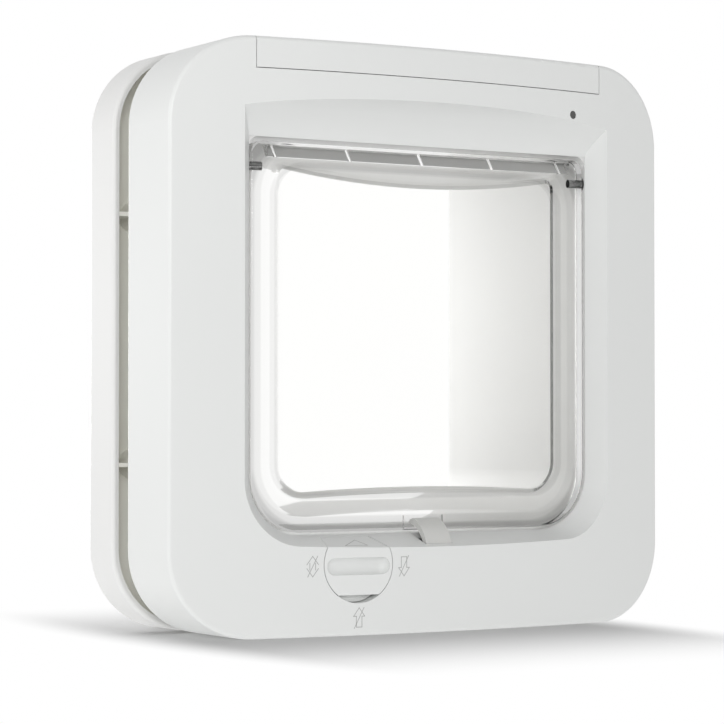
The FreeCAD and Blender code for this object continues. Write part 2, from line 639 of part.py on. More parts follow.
rim_cove = place("rim_cove", "(flap_thick - pane_thick) / 2")
shoulder = place("shoulder", "rim_cove * 0.4")
border = place("border", "(flap_width / 2 - pane_half_width) * 0.7")
front_pocket = window_pocket("front_pocket", [(border, flap_front - 1), (border, flap_front),
                                              (size("pane_step"), flap_front + shoulder), (0, flap_front + rim_cove)])
back_pocket = window_pocket("back_pocket", [(0, flap_back - rim_cove), (size("pane_step"), flap_back - shoulder),
                                            (border, flap_back), (border, flap_back + 1)])
slot_top = place("slot_top", "flap_top - beam_lip")
slot_bottom = place("slot_bottom", "slot_top - beam_slot_height")
beam_half = place("beam_half", "flap_width / 2 - flap_top_corner - 1.5")


def beam_slot(label, less, start, length):
    """A stretch of the groove along the beam: its back leans away towards the top."""
    points = [(flap_front - 1, slot_bottom), (flap_front - 1, slot_top),
              (flap_front + size("beam_slot_deep") - less, slot_top),
              (flap_front + size("beam_slot_shallow") - less, slot_bottom)]
    wire = Part.makePolygon([vec(0, y, z) for y, z in points + points[:1]])
    return profile(label, wire.Edges, length, start)


rib_proud = place("rib_proud", "rib_thick * 0.8")
rib_gap = place("rib_gap", "rib_pitch - rib_thick")
starts = [k * size("rib_pitch") + size("rib_thick") / 2 for k in (-2, -1, 0, 1)]
end_length = beam_half - 2 * size("rib_pitch") - size("rib_thick") / 2
slots = [beam_slot("beam_slot_%d" % number, 0, start, rib_gap) for number, start in enumerate(starts, start=1)]
slots += [beam_slot("beam_slot_left", 0, -beam_half, end_length),
          beam_slot("beam_slot_right", 0, beam_half - end_length, end_length),
          beam_slot("beam_slot_shallow_part", rib_proud, -beam_half, 2 * beam_half)]
ears = [rod("ear_" + side, "ear_radius", "pin_depth", (x, "hinge_y", "hinge_height"), "x")
        for side, x in (("left", "-flap_width / 2"), ("right", "flap_width / 2 - pin_depth"))]
ear_bores = [rod("ear_bore_" + side, "pin_radius", "pin_depth + 1", (x, "hinge_y", "hinge_height"), "x")
             for side, x in (("left", "-flap_width / 2 - 1"), ("right", "flap_width / 2 - pin_depth"))]
notch = block("notch", ("-notch_width / 2", "flap_front - 1", "flap_bottom - 1"),
              ("notch_width", "notch_deep + 1", "notch_height + 1"))
flap_cut = carve("flap_cut", flap_block, front_pocket, back_pocket, notch, *slots)
named(carve("flap_body", join("flap_with_ears", flap_cut, *ears), *ear_bores), "flap")

# Hinge: steel pins pressed into the ears, turning in dark bushes
for side, direction in (("left", -1), ("right", 1)):
    low_end = "fit_gap - flap_width / 2 - flap_gap - bush_length" if direction < 0 else "flap_width / 2 - pin_depth"
    named(rod("pin_" + side, "pin_radius", "pin_depth + flap_gap + bush_length - fit_gap",
              (low_end, "hinge_y", "hinge_height"), "x"), "hinge_pin_" + side)
    bush_end = "-opening_half - bush_length" if direction < 0 else "opening_half"
    bush = rod("bush_block_" + side, "bush_radius", "bush_length", (bush_end, "hinge_y", "hinge_height"), "x")
    bush_hole = rod("bush_hole_" + side, "pin_radius + pin_fit", "bush_length + 2",
                    (bush_end + " - 1", "hinge_y", "hinge_height"), "x")
    named(carve("bush_body_" + side, bush, bush_hole), "hinge_bush_" + side)

# Battery cover: a piece of the shell's own form, with two feet that stand on the tray's rim
cover_block = block("cover_block", ("-cover_half_width + seam", "scoop_front", "cover_edge + seam"),
                    ("2 * cover_half_width - 2 * seam", "face_edge + cover_back - seam - scoop_front", "frame_corner"))
cover_under = cavity("cover_under", "cover_thick", "face_crown + housing_depth")
rim_top = place("rim_top", "flange_height + rim_thick")
foot_height = place("foot_height", "frame_height - cover_thick - rim_top")
cover_feet = [block("cover_foot_" + side, (x, "face_edge + foot_depth", "rim_top"),
                    ("rim_thick", "foot_depth", "foot_height + 0.5"))
              for side, x in (("left", "-cover_half_width + 2"), ("right", "cover_half_width - 2 - rim_thick"))]
cover_skin = carve("cover_skin", meet("cover_form", shell_outer, cover_block), cover_under)
named(join("battery_cover_body", cover_skin, *cover_feet), "battery_cover")

# Battery tray, its four cells and their contacts
tray_block = block("tray_block", ("-tray_length / 2", "tray_front", "tray_floor"),
                   ("tray_length", "tray_depth", "rim_top - tray_floor"))
tray_rim = block("tray_rim", ("-cover_half_width + 2 * seam", "face_edge - 2.6", "flange_height"),
                 ("2 * cover_half_width - 4 * seam", "cover_back + 2.6 - 2 * seam", "rim_thick"))
tray_space = block("tray_space", ("-tray_length / 2 + tray_wall", "tray_front + tray_wall", "tray_floor + rim_thick"),
                   ("tray_length - 2 * tray_wall", "tray_depth - 2 * tray_wall", "rim_top"))
button_y = place("button_y", "board_front + board_thick / 2")
button_hole = rod("button_hole", "button_radius + fit_gap", "rim_thick + 2",
                  ("button_x", "button_y", "flange_height - 1"), "z")
tray_solid = join("tray_solid", tray_block, tray_rim)
named(carve("battery_tray_body", tray_solid, tray_space, button_hole), "battery_tray")
row_places = ["tray_front + tray_wall + cell_space + cell_radius", "tray_inner_back - cell_space - cell_radius"]
place("cell_cap_length", "cell_radius / 6")
number = 0
for row, row_y in enumerate(row_places):
    for start in ("-cell_length - fit_gap / 2", "fit_gap / 2"):
        number += 1
        to_right = row == 0
        can_start = start if to_right else start + " + cell_cap_length"
        cap_start = start + " + cell_length - cell_cap_length" if to_right else start
        can = rod("can_%d" % number, "cell_radius", "cell_length - cell_cap_length",
                  (can_start, row_y, "cell_height"), "x")
        cap = rod("cap_%d" % number, "cell_radius * 0.38", "cell_cap_length",
                  (cap_start, row_y, "cell_height"), "x")
        named(join("cell_%d" % number, can, cap), "battery_cell_%d" % number)

# Contacts: a plate on each end wall, with a pad at each cap and a bowed leaf at each flat end
contact_thick = place("contact_thick", "seam + 0.1")
contact_size = place("contact_size", "cell_radius * 1.6")
contact_wall = place("contact_wall", "tray_length / 2 - tray_wall")
contact_space = place("contact_space", "contact_wall - contact_thick - cell_length - fit_gap / 2")


def leaf(label, end, y):
    """A strip that bows from its plate to the end of a cell and back."""
    half = contact_size / 2
    start = end * (contact_wall - contact_thick / 2)

    def bow(depth):
        return Part.Arc(vec(start, y - half, cell_height), vec(start - end * depth, y, cell_height),
                        vec(start, y + half, cell_height)).toShape()

    outer, inner = bow(contact_space + contact_thick / 2), bow(contact_space - contact_thick / 2)
    ends = [Part.makeLine(vec(start, y - half, cell_height), vec(start, y + half, cell_height))]
    solid = Part.Face(Part.Wire([outer] + ends)).extrude(vec(0, 0, contact_thick * 8))
    hollow = Part.Face(Part.Wire([inner] + ends)).extrude(vec(0, 0, contact_thick * 8))
    thing = doc.addObject("Part::Feature", label)
    thing.Shape = solid.cut(hollow)
    thing.Placement.Base.z = -contact_thick * 4
    return thing


contact_pieces = []
for row, row_y in enumerate(row_places):
    for side, end in (("left", -1), ("right", 1)):
        name = "%s_%d" % (side, row + 1)
        near = "-contact_wall" if end < 0 else "contact_wall - contact_thick"
        plate = block("contact_plate_" + name,
                      (near, row_y + " - contact_size / 2", "cell_height - contact_size / 2"),
                      ("contact_thick", "contact_size", "contact_size"))
        if (end < 0) == (row == 0):
            piece = leaf("contact_leaf_" + name, end, amount(row_y))
        else:
            near = "-contact_wall + contact_thick" if end < 0 else "contact_wall - contact_thick - contact_space"
            piece = block("contact_pad_" + name,
                          (near, row_y + " - contact_size / 6", "cell_height - contact_size / 6"),
                          ("contact_space", "contact_size / 3", "contact_size / 3"))
        contact_pieces.append(join("contact_" + name, plate, piece))
contacts = doc.addObject("Part::Compound", "contacts")
contacts.Links = contact_pieces
named(contacts, "battery_contacts")

# Four-way lock: its face follows the crowned face and the sill, with a finger groove and a flat on its edge
knob_blank = rod("knob_blank", "knob_radius", "knob_rear - front_most", ("knob_x", "front_most", "knob_height"))
knob_form = meet("knob_form", knob_blank, crown("knob_front", "0"))
groove_half = place("groove_half", "groove_length / 2 - groove_radius")
groove_height = place("groove_height", "knob_height - groove_rise")
groove_y = place("groove_y", "face_edge - face_crown + face_crown * knob_x * knob_x / (half_width * half_width)")
knob_flat = block("knob_flat", ("knob_x - knob_radius", "scoop_front", "knob_height - 2 * knob_radius"),
                  ("2 * knob_radius", "groove_y + ledge_depth - scoop_front", "2 * knob_radius - knob_chord"))
groove_parts = [rod("groove_middle", "groove_radius", "2 * groove_half",
                    ("knob_x - groove_half", "groove_y", "groove_height"), "x")]
for side, x in (("left", "knob_x - groove_half"), ("right", "knob_x + groove_half")):
    end = doc.addObject("Part::Sphere", "groove_" + side)
    groove_parts.append(bind(end, x=x, y="groove_y", z="groove_height", Radius="groove_radius"))
spindle_bore = rod("spindle_bore", "shaft_radius / 2", "shaft_radius * 2",
                   ("knob_x", "knob_rear - shaft_radius * 2", "knob_height"))
named(carve("knob_body", knob_form, scoop_hollow, knob_flat, spindle_bore, *groove_parts), "lock_knob")

# Shaft and cam behind the lock: a spigot in the lock, a journal in the cup's floor and a cam with two lobes
cam_front = place("cam_front", "face_edge + shaft_radius + 0.2")
spigot = rod("spigot", "shaft_radius / 2", "shaft_radius * 2",
             ("knob_x", "knob_rear - shaft_radius * 2", "knob_height"))
journal = rod("journal", "shaft_radius", "cam_front - knob_rear", ("knob_x", "knob_rear", "knob_height"))
cam_hub = rod("cam_hub", "shaft_radius + 1", "2 * cam_width", ("knob_x", "cam_front", "knob_height"))
cam_disc = rod("cam_disc", "cam_radius", "cam_width", ("knob_x", "cam_front", "knob_height"))
cam_flat = block("cam_flat", ("knob_x - cam_radius", "cam_front - 1", "knob_height + shaft_radius + 1"),
                 ("2 * cam_radius", "cam_width + 2", "cam_radius"))
named(join("cam_body", spigot, journal, cam_hub, carve("cam_lobes", cam_disc, cam_flat)), "lock_cam")

# Inner latch: a curved hook over the flap's lower edge, on a stem with a rack on one side
half_latch = place("half_latch", "latch_width / 2")
sill_at_stem = place("sill_at_stem", "opening_bottom - recess_sill_slope * (flap_front - stem_front)")
lug_height = place("lug_height", "pinion_height + latch_travel - 0.6")


def hook(label):
    """Side view of the latch: two arcs from the stem up to the tip."""
    tip = vec(0, flap_front - 1.3, size("latch_tip"))
    inner_tip = vec(0, flap_front + size("notch_deep") - size("fit_gap"), size("latch_tip") - 0.6)
    inner_low = vec(0, inner_tip.y, inner_tip.z - size("latch_thick") * 0.6)
    outer_turn, inner_turn = vec(0, stem_front, sill_at_stem), vec(0, stem_back, sill_at_stem)
    outer_mid = (tip + outer_turn) * 0.5 + vec(0, -0.9, 1.2)
    inner_mid = (inner_low + inner_turn) * 0.5 + vec(0, -0.9, 1.2)
    foot_front, foot_back = vec(0, stem_front, size("latch_foot")), vec(0, stem_back, size("latch_foot"))
    lines = [Part.Arc(outer_turn, outer_mid, tip).toShape(), Part.makeLine(tip, inner_tip),
             Part.makeLine(inner_tip, inner_low), Part.Arc(inner_low, inner_mid, inner_turn).toShape(),
             Part.makeLine(inner_turn, foot_back), Part.makeLine(foot_back, foot_front),
             Part.makeLine(foot_front, outer_turn)]
    return profile(label, lines, size("latch_width"), -half_latch)


def flat_shape(label, points, y, depth):
    """A polygon in the x and z plane, drawn out towards +y."""
    wire = Part.makePolygon([vec(x, y, z) for x, z in points + points[:1]])
    thing = doc.addObject("Part::Feature", label)
    thing.Shape = Part.Face(wire).extrude(vec(0, depth, 0))
    return thing


pitch = math.pi * size("gear_module")
pressure = math.radians(20)
rack_addendum = size("gear_module") * 0.55
rack_line = half_latch + size("gear_module") * 1.25
rack_teeth = []
for tooth in range(-1, 5):
    middle = size("pinion_height") + tooth * pitch
    half_tip = pitch / 4 - size("gear_backlash") / 4 - rack_addendum * math.tan(pressure)
    half_root = pitch / 4 - size("gear_backlash") / 4 + (rack_line - half_latch) * math.tan(pressure)
    rack_teeth.append(flat_shape("rack_tooth_%d" % (tooth + 2),
                                 [(half_latch - 0.2, middle - half_root), (rack_line + rack_addendum, middle - half_tip),
                                  (rack_line + rack_addendum, middle + half_tip),
                                  (half_latch - 0.2, middle + half_root)], stem_front, size("latch_thick")))
lug_length = place("lug_length", "2 * spring_radius + 3")
latch_lug = block("latch_lug", ("-half_latch - lug_length", "stem_front", "lug_height"),
                  ("lug_length + 1", "latch_thick", "latch_thick"))
named(join("inner_latch_body", hook("latch_hook"), latch_lug, *rack_teeth), "inner_latch")


def pinion_outline():
    """Points round the pinion: each tooth has two curved flanks, and a gap faces the rack."""
    teeth = int(size("pinion_teeth"))
    module = size("gear_module")
    base = pinion_pitch * math.cos(pressure)
    root, tip = pinion_pitch - module, pinion_pitch + module * 0.85
    half_at_pitch = (math.pi / 2 - size("gear_backlash") / (2 * module)) / teeth
    spread = math.tan(pressure) - pressure

    def half_angle(radius):
        lean = math.acos(min(1, base / radius))
        return half_at_pitch + spread - (math.tan(lean) - lean)

    radii = [root, base, (base + pinion_pitch) / 2, pinion_pitch, (pinion_pitch + tip) / 2, tip]
    points = []
    for tooth in range(teeth):
        middle = math.pi + (tooth + 0.5) * 2 * math.pi / teeth
        flank = [(radius, half_angle(radius)) for radius in radii]
        sides = [(radius, middle - half) for radius, half in flank]
        sides += [(radius, middle + half) for radius, half in reversed(flank)]
        points += [(pinion_x + radius * math.cos(angle), size("pinion_height") + radius * math.sin(angle))
                   for radius, angle in sides]
    return points


pinion_front = place("pinion_front", "stem_front + 0.1")
gear = flat_shape("gear", pinion_outline(), pinion_front, size("pinion_width"))
axle_radius = place("axle_radius", "gear_module")
guide_back = place("guide_back", "stem_back + fit_gap + rim_thick")
axle = rod("axle", "axle_radius", "guide_back - pinion_front + 2", ("pinion_x", "pinion_front", "pinion_height"))
named(join("pinion_body", gear, axle), "latch_pinion")

# Carrier of the latch: a plate behind the stem with a rail, a foot on the housing's floor and a post
guide_front = place("guide_front", "stem_back + fit_gap")
guide_low = place("guide_low", "shell_wall")
guide_left = place("guide_left", "-half_latch - lug_length - 2")
guide_right = place("guide_right", "pinion_x + motor_radius + 1")
guide_plate = block("guide_plate", ("guide_left", "guide_front", "guide_low"),
                    ("guide_right - guide_left", "rim_thick",
                     "sill_at_stem - latch_travel - 2 * fit_gap - guide_low"))
guide_foot = block("guide_foot", ("guide_left", "stem_front", "guide_low"),
                   ("guide_right - guide_left", "door_face - plate_thick - stem_front", "rim_thick"))
guide_rail = block("guide_rail", ("-half_latch - fit_gap - rim_thick", "stem_front", "guide_low"),
                   ("rim_thick", "guide_front - stem_front + 0.5", "lug_height - latch_travel - guide_low - 1"))
axle_hole = rod("axle_hole", "axle_radius + pin_fit", "3 * rim_thick",
                ("pinion_x", "guide_front - 1", "pinion_height"))
outer_post_gap = block("outer_post_gap", ("-half_latch - fit_gap", "outer_latch_front - fit_gap", "0"),
                       ("latch_width + 2 * fit_gap", "latch_thick + 2 * fit_gap", "rim_thick + guide_low + 10"))
outer_post = block("outer_post", ("-half_latch - fit_gap - rim_thick", "outer_latch_front - rim_thick - fit_gap",
                                  "guide_low"),
                   ("latch_width + 2 * fit_gap + 2 * rim_thick", "latch_thick + 2 * fit_gap + 2 * rim_thick",
                    "4 * rim_thick"))
floor_stop = block("floor_stop", ("-half_latch - fit_gap", "outer_latch_front - fit_gap", "guide_low"),
                   ("latch_width + 2 * fit_gap", "latch_thick + 2 * fit_gap", "rim_thick"))
guide_solid = join("guide_solid", guide_plate, guide_foot, guide_rail, outer_post)
guide_cut = carve("guide_cut", guide_solid, axle_hole, outer_post_gap)
named(join("guide_body", guide_cut, floor_stop), "latch_guide")

motor_can = rod("motor_can", "motor_radius", "motor_length - gearbox_length",
                ("pinion_x", "guide_back + gearbox_length", "pinion_height"))
gearbox = block("gearbox", ("pinion_x - motor_radius", "guide_back", "pinion_height - motor_radius"),
                ("2 * motor_radius", "gearbox_length", "2 * motor_radius"))
motor_bore = rod("motor_bore", "axle_radius + pin_fit", "2.5", ("pinion_x", "guide_back - 0.1", "pinion_height"))
named(carve("motor_body", join("motor_solid", motor_can, gearbox), motor_bore), "latch_motor")

# Spring that pushes the inner latch up: wire of eight flats, wound round a helix
spring_low = place("spring_low", "guide_low + rim_thick")
spring_x = place("spring_x", "-half_latch - fit_gap - rim_thick - spring_radius - 0.3")
wire_radius = size("spring_wire") / 2
coil_radius = size("spring_radius") - wire_radius
spring_length = lug_height - spring_low - 2 * wire_radius
helix = Part.makeHelix(spring_length / size("spring_turns"), spring_length, coil_radius)
eighths = [k * math.pi / 4 for k in range(9)]
corners_of_wire = [vec(coil_radius + wire_radius * math.cos(angle), 0, wire_radius * math.sin(angle))
                   for angle in eighths]
spring = doc.addObject("Part::Feature", "spring")
spring.Shape = Part.Wire(helix.Edges).makePipeShell([Part.makePolygon(corners_of_wire)], True, True)
spring.Placement.Base = vec(spring_x, stem_front + size("latch_thick") / 2, spring_low + wire_radius)
named(spring, "latch_spring")

# Outer latch: a blade behind the flap, in the tunnel's floor, with an arm towards the lock's cam
blade_rest = place("blade_rest", "opening_bottom - fit_gap")
blade_low = place("blade_low", "guide_low + rim_thick")
blade = block("blade", ("-half_latch", "outer_latch_front", "blade_low"),
              ("latch_width", "latch_thick", "blade_rest - blade_low"))
arm_end = place("arm_end", "knob_x + cam_radius + 2 * fit_gap")
arm_height = place("arm_height", "tunnel_outer_low - outer_latch_travel - 3 * latch_thick - 1")
arm = block("arm", ("arm_end", "outer_latch_front", "arm_height"),
            ("-half_latch - arm_end + 1", "latch_thick", "latch_thick + 1"))
named(join("outer_latch_body", blade, arm), "outer_latch")

# Circuit board with its light, push switch and a few packages
arm_low = place("arm_low", "lamp_height - 8")
arm_high = place("arm_high", "lamp_height + 7")
board_inner = place("board_inner", "opening_half + bush_length + tunnel_wall")
board_column = block("board_column", ("board_inner", "board_front", "board_bottom"),
                     ("half_width - shell_wall - 4 - board_inner", "board_thick", "board_tall"))
board_arm = block("board_arm", ("tray_length / 2 + 1", "board_front", "arm_low"),
                  ("small_screw_x - 4.5 - tray_length / 2 - 1", "board_thick", "arm_high - arm_low"))
lamp_depth = place("lamp_depth", "board_front - rim_thick")
lamp_chip = block("lamp_chip", ("lamp_x - rim_thick", "lamp_depth", "lamp_height - rim_thick"),
                  ("2 * rim_thick", "rim_thick", "2 * rim_thick"))
switch_top = place("switch_top", "flange_height - 3.1")
switch_body = block("switch_body", ("button_x - 3", "board_front - 1", "arm_high"),
                    ("6", "board_thick + 2", "switch_top - arm_high"))
packages = [block("package_%d" % number,
                  ("board_inner + 4", "board_front - rim_thick", "board_bottom + board_tall * %s" % share),
                  ("10", "rim_thick", "board_tall * 0.15")) for number, share in enumerate((0.16, 0.42, 0.68), start=1)]
named(join("board_body", board_column, board_arm, lamp_chip, switch_body, *packages), "circuit_board")

pipe = rod("pipe", "lamp_radius", "lamp_depth - 0.2 - front_most", ("lamp_x", "front_most", "lamp_height"))
named(meet("lamp_body", pipe, crown("lamp_front", "0.3")), "led_lens")

# Memory button: turned form with a collar under the tray's rim
body = doc.addObject("PartDesign::Body", "button_body")
plane = [feature for feature in body.Origin.OriginFeatures if feature.Role == "XZ_Plane"][0]
button_plan = body.newObject("Sketcher::SketchObject", "button_plan")
button_plan.AttachmentSupport = [(plane, "")]
button_plan.MapMode = "FlatFace"
button_points = [("0", "0"), ("button_radius - 0.6", "0"), ("button_radius - 0.6", "1.1"),
                 ("button_radius + 1.1", "1.1"), ("button_radius + 1.1", "2"), ("button_radius", "2"),
                 ("button_radius", "4.6"), ("0", "4.6")]
corner_points = [vec(amount(x), amount(y), 0) for x, y in button_points]
for start, end in zip(corner_points, corner_points[1:] + corner_points[:1]):
    button_plan.addGeometry(Part.LineSegment(start, end), False)
for index in range(len(corner_points)):
    button_plan.addConstraint(Sketcher.Constraint("Coincident", index, 2, (index + 1) % len(corner_points), 1))
for index, (x, y) in enumerate(button_points):
    for kind, text in (("DistanceX", x), ("DistanceY", y)):
        number = button_plan.addConstraint(Sketcher.Constraint(kind, -1, 1, index, 1, amount(text)))
        if amount(text) > 0:
            button_plan.setExpression("Constraints[%d]" % number, formula(text))
turned = body.newObject("PartDesign::Revolution", "turned")
turned.Profile = button_plan
turned.ReferenceAxis = (button_plan, ["V_Axis"])
turned.Angle = 360
bind(body, x="button_x", y="button_y", z="switch_top + button_travel + 0.1")
named(body, "memory_button")

# Antenna coil round the tunnel
coil_front = place("coil_front", "outer_latch_front + latch_thick + 1.6")
coil_block = around_tunnel("coil_block", "coil_thick", "coil_front", "coil_width")
coil_bore = around_tunnel("coil_bore", "0.02", "coil_front - 1", "coil_width + 2")
named(carve("coil_body", coil_block, coil_bore), "antenna_coil")

# Screws and caps
screw_end = place("screw_end", "plate_front - boss_reach + rim_thick")
frame_screws = []
cross_width = place("cross_width", "screw_radius / 3")
for name, x, z in frame_screws_at:
    shank = rod("shank_" + name, "screw_radius", "head_seat - screw_end", (x, "screw_end", z))
    head = rod("head_" + name, "screw_head", "screw_head_depth", (x, "head_seat", z))
    cross = [block("cross_%s_%s" % (way, name),
                   (x + " - %s / 2" % wide, "head_seat + screw_head_depth / 2", z + " - %s / 2" % tall),
                   (wide, "screw_head_depth", tall))
             for way, wide, tall in (("flat", "screw_head", "cross_width"), ("tall", "cross_width", "screw_head"))]
    frame_screws.append(carve("frame_screw_" + name, join("frame_screw_solid_" + name, shank, head), *cross))
screws = doc.addObject("Part::Compound", "frame_screw_set")
screws.Links = frame_screws
named(screws, "frame_screws")
small_set = doc.addObject("Part::Compound", "small_screw_set")
small_set.Links = [rod("small_shank_" + name, "small_screw_radius - 0.02", "small_screw_length - fit_gap",
                       (x, "door_face - small_screw_length + fit_gap", z)) for name, x, z in corners]
named(small_set, "housing_screws")
caps = doc.addObject("Part::Compound", "cap_set")
caps.Links = [rod("screw_cap_" + name, "cap_radius", "cap_thick", (x, "outer_back - cap_thick", z))
              for name, x, z in frame_screws_at]
named(caps, "screw_caps")

doc.recompute()
faulty = [thing.Label for thing in doc.Objects if "Invalid" in thing.State or "Error" in thing.State]
if faulty:
    raise RuntimeError("these objects did not build: " + ", ".join(faulty))
for thing in finished:
    if thing.Shape.isNull() or not thing.Shape.isValid():
        raise RuntimeError(thing.Label + " has no valid solid")

os.makedirs("parts", exist_ok=True)
for thing in finished:
    thing.Shape.exportStep("parts/%s.step" % thing.Label)
    print(thing.Label, len(thing.Shape.Solids), "solid", round(thing.Shape.Volume), "cubic mm")
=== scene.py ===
import math
import bmesh
import bpy
from mathutils import Matrix, Vector


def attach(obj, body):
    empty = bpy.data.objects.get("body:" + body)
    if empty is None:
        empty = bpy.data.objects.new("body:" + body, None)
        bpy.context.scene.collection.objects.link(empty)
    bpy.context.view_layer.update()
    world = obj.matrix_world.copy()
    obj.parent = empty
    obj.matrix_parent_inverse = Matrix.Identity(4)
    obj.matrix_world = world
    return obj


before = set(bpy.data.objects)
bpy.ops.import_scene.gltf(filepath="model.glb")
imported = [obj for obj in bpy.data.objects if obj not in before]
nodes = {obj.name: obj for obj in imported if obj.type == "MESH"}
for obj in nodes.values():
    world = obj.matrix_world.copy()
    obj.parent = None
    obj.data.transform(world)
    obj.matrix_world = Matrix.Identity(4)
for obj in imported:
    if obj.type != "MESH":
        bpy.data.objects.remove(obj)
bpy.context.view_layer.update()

# Cat flap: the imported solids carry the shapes, and this script adds finishes, marks, studio and camera.
# Lengths are in millimetres and are turned into metres by mm, apart from those of the studio, in metres.
mm = 0.001
print("frame loaded with", len(nodes), "nodes")


def emptyTree(owner):
    # the node tree of a material or a world, cleared
    owner.use_nodes = True
    owner.node_tree.nodes.clear()
    return owner.node_tree


def newNode(tree, kind, place=(0, 0), **values):
    node = tree.nodes.new(kind)
    node.location = place
    for name, value in values.items():
        setattr(node, name, value)
    return node


def setInputs(node, **values):
    for name, value in values.items():
        node.inputs[name.replace("_", " ")].default_value = value
    return node


def mathNode(tree, operation, first, second=None, place=(0, 0)):
    # one sum: each side is a socket or a number
    node = newNode(tree, "ShaderNodeMath", place, operation=operation)
    for index, value in enumerate((first, second)):
        if value is None:
            continue
        if isinstance(value, (int, float)):
            node.inputs[index].default_value = value
        else:
            tree.links.new(value, node.inputs[index])
    return node.outputs[0]


def vectorNode(tree, operation, first, second=None, place=(0, 0)):
    # one sum of a vector's socket and a fixed vector
    node = newNode(tree, "ShaderNodeVectorMath", place, operation=operation)
    tree.links.new(first, node.inputs[0])
    if second is not None:
        node.inputs[1].default_value = second
    return node.outputs["Value" if operation == "LENGTH" else "Vector"]


def objectCoords(tree, place):
    return newNode(tree, "ShaderNodeTexCoord", place).outputs["Object"]


def objectAxes(tree, place):
    # X, Y and Z of the object's own coordinates
    parts = newNode(tree, "ShaderNodeSeparateXYZ", place)
    tree.links.new(objectCoords(tree, (place[0] - 200, place[1])), parts.inputs[0])
    return parts.outputs


def colourMix(tree, low, high, factor, place):
    # from one colour at 0 to another at 1
    mix = newNode(tree, "ShaderNodeMix", place, data_type="RGBA")
    mix.inputs["A"].default_value = (*low, 1)
    mix.inputs["B"].default_value = (*high, 1)
    tree.links.new(factor, mix.inputs["Factor"])
    return mix.outputs["Result"]


def newMaterial(name, **shader):
    # a material with one shader, joined to its output
    material = bpy.data.materials.new(name)
    tree = emptyTree(material)
    principled = setInputs(newNode(tree, "ShaderNodeBsdfPrincipled"), **shader)
    output = newNode(tree, "ShaderNodeOutputMaterial", (300, 0))
    tree.links.new(principled.outputs[0], output.inputs["Surface"])
    return material, tree, principled


# Moulded surface: a slow drift of the colour, a fine grain and a faint waviness. The heights of the grain and
# the waves are in metres, and the grain changes the roughness by up to grainShine.
moulding = dict(driftScale=14.0, waveScale=28.0, grainShine=0.08, grainHeight=0.00005, waveHeight=0.0008)
mouldedInputs = (
    ("Color", "NodeSocketColor", (0.8, 0.8, 0.8, 1)),
    ("Drift", "NodeSocketFloat", 0.03),
    ("Roughness", "NodeSocketFloat", 0.4),
    ("Grain Scale", "NodeSocketFloat", 900),
    ("Grain Depth", "NodeSocketFloat", 0.05),
    ("Wave Depth", "NodeSocketFloat", 0.02),
)
# each output of the surface, its kind and the shader's input that it goes to
mouldedOutputs = (
    ("Color", "NodeSocketColor", "Base Color"),
    ("Roughness", "NodeSocketFloat", "Roughness"),
    ("Normal", "NodeSocketVector", "Normal"),
)


def makeMouldedGroup():
    group = bpy.data.node_groups.new("mouldedSurface", "ShaderNodeTree")
    for name, kind, value in mouldedInputs:
        group.interface.new_socket(name=name, in_out="INPUT", socket_type=kind).default_value = value
    for name, kind, _ in mouldedOutputs:
        group.interface.new_socket(name=name, in_out="OUTPUT", socket_type=kind)
    inside = newNode(group, "NodeGroupInput", (-900, 0))
    outside = newNode(group, "NodeGroupOutput", (700, 0))
    coords = objectCoords(group, (-900, -300))
    drift = setInputs(newNode(group, "ShaderNodeTexNoise", (-650, 200)), Scale=moulding["driftScale"], Detail=2.0)
    grain = setInputs(newNode(group, "ShaderNodeTexNoise", (-650, -100)), Detail=2.0)
    wave = setInputs(newNode(group, "ShaderNodeTexNoise", (-650, -400)), Scale=moulding["waveScale"], Detail=1.0)
    link = group.links.new
    for texture in (drift, grain, wave):
        link(coords, texture.inputs["Vector"])
    link(inside.outputs["Grain Scale"], grain.inputs["Scale"])
    # colour times 1 plus the drift about its middle
    centred = mathNode(group, "SUBTRACT", drift.outputs["Fac"], 0.5, (-430, 200))
    scaled = mathNode(group, "MULTIPLY", centred, inside.outputs["Drift"], (-260, 200))
    tint = newNode(group, "ShaderNodeVectorMath", (90, 200), operation="SCALE")
    link(inside.outputs["Color"], tint.inputs[0])
    link(mathNode(group, "ADD", scaled, 1.0, (-90, 200)), tint.inputs["Scale"])
    link(tint.outputs[0], outside.inputs["Color"])
    # roughness follows the grain a little
    shine = mathNode(group, "MULTIPLY", grain.outputs["Fac"], moulding["grainShine"], (-430, -40))
    link(mathNode(group, "ADD", shine, inside.outputs["Roughness"], (-260, -40)), outside.inputs["Roughness"])
    grainBump = setInputs(newNode(group, "ShaderNodeBump", (90, -120)), Distance=moulding["grainHeight"])
    waveBump = setInputs(newNode(group, "ShaderNodeBump", (330, -240)), Distance=moulding["waveHeight"])
    for texture, bump, depth in ((grain, grainBump, "Grain Depth"), (wave, waveBump, "Wave Depth")):
        link(texture.outputs["Fac"], bump.inputs["Height"])
        link(inside.outputs[depth], bump.inputs["Strength"])
    link(grainBump.outputs["Normal"], waveBump.inputs["Normal"])
    link(waveBump.outputs["Normal"], outside.inputs["Normal"])
    return group


mouldedGroup = makeMouldedGroup()


def mouldedNode(tree, principled, place, **values):
    # the moulded surface, joined to a shader
    surface = setInputs(newNode(tree, "ShaderNodeGroup", place, node_tree=mouldedGroup), **values)
    for name, _, target in mouldedOutputs:
        tree.links.new(surface.outputs[name], principled.inputs[target])
    return surface


def mouldedMaterial(name, colour, roughness, drift=0.03, grain=0.2, grainScale=1400.0, wave=0.02, **shader):
    material, tree, principled = newMaterial(name, **shader)
    mouldedNode(tree, principled, (-300, 0), Color=(*colour, 1), Drift=drift, Roughness=roughness,
                Grain_Scale=grainScale, Grain_Depth=grain, Wave_Depth=wave)
    return material


